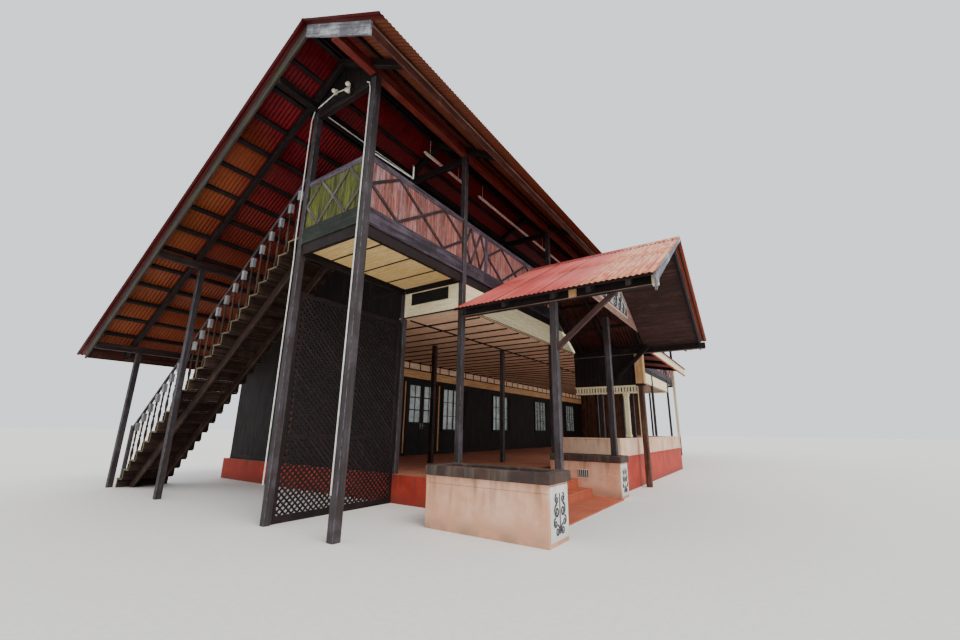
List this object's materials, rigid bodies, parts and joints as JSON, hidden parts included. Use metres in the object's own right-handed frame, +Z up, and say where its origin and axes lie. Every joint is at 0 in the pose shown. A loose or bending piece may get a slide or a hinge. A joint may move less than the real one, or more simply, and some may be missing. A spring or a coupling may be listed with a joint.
{
  "type": "two-storey timber house",
  "caption": "Long two-storey timber house under one uneven gable roof, with an upper gallery, an outside stair and a gabled entrance porch.",
  "frame": {"origin": "on the ground, under the middle of the overall box", "axes": "+X along the front to the right, +Y from the front to the rear, +Z up"},
  "size_m": [30.16, 13.5, 8.55],
  "materials": {
    "red_base": "painted masonry, weathered",
    "cream_plaster": "painted plaster, stained",
    "terracotta": "matt tile",
    "dark_timber": "stained, weathered",
    "floor_boards": "painted boards",
    "ceiling_boards": "painted boards",
    "window_glass": "clear",
    "door_paint": "stained, with glazed panes",
    "red_roof_sheet": "corrugated, faded",
    "ridge_metal": "folded sheet, faded",
    "pink_roof_sheet": "corrugated, faded",
    "gable_paint": "painted boards",
    "canopy_sheet": "corrugated, faded"
  },
  "bodies": {
    "house": {"canopy_frame": "dark_timber", "canopy_sheets": "canopy_sheet", "corner_frame_left": "dark_timber", "corner_frame_right": "dark_timber", "eave_post_left": "dark_timber", "eave_post_right": "dark_timber", "end_wall_left": "dark_timber", "end_wall_right": "dark_timber", "front_bay_1": "dark_timber", "front_bay_2": "dark_timber", "front_bay_3": "dark_timber", "front_bay_4": "dark_timber", "front_bay_5": "dark_timber", "front_bay_6": "dark_timber", "front_eave_plate": "dark_timber", "ground_floor_base": "red_base", "hall_wall_left": "dark_timber", "hall_wall_over_door": "dark_timber", "hall_wall_right": "dark_timber", "hall_window_glass_left": "window_glass", "hall_window_glass_right": "window_glass", "lattice_screen": "dark_timber", "middle_plate": "dark_timber", "planter_left": "cream_plaster", "planter_right": "cream_plaster", "porch_frame": "dark_timber", "porch_gable_board": "gable_paint", "porch_pillar": "dark_timber", "porch_plate_left": "dark_timber", "porch_plate_right": "dark_timber", "porch_post_left": "dark_timber", "porch_post_right": "dark_timber", "porch_ridge_cap": "pink_roof_sheet", "porch_sheets_left": "pink_roof_sheet", "porch_sheets_right": "pink_roof_sheet", "porch_side_screen": "dark_timber", "porch_steps": "terracotta", "rear_eave_board": "dark_timber", "rear_plate": "dark_timber", "rear_post_left": "dark_timber", "rear_post_right": "dark_timber", "rear_wall": "dark_timber", "rear_window_glass": "window_glass", "ridge_cap": "ridge_metal", "roof_frame_front": "dark_timber", "roof_frame_rear": "dark_timber", "roof_sheets_front": "red_roof_sheet", "roof_sheets_rear": "red_roof_sheet", "stair_balustrade_inner": "dark_timber", "stair_balustrade_outer": "dark_timber", "stair_flight": "dark_timber", "terrace_wall": "cream_plaster", "upper_floor": "floor_boards", "upper_front_wall": "dark_timber", "upper_window_glass": "window_glass", "veranda_ceiling": "ceiling_boards", "veranda_post": "dark_timber"},
    "door_leaf_left": {"entrance_door_left": "door_paint"},
    "door_leaf_right": {"entrance_door_right": "door_paint"}
  },
  "joints": [
    {"name": "left_leaf_hinge", "type": "hinge", "parent": "house", "child": "door_leaf_left", "pos_m": [-6.625, 3.075, 0], "axis": [0, 0, 1], "range_deg": [0, 90]},
    {"name": "right_leaf_hinge", "type": "hinge", "parent": "house", "child": "door_leaf_right", "pos_m": [-5.035, 3.075, 0], "axis": [0, 0, -1], "range_deg": [0, 90]}
  ]
}
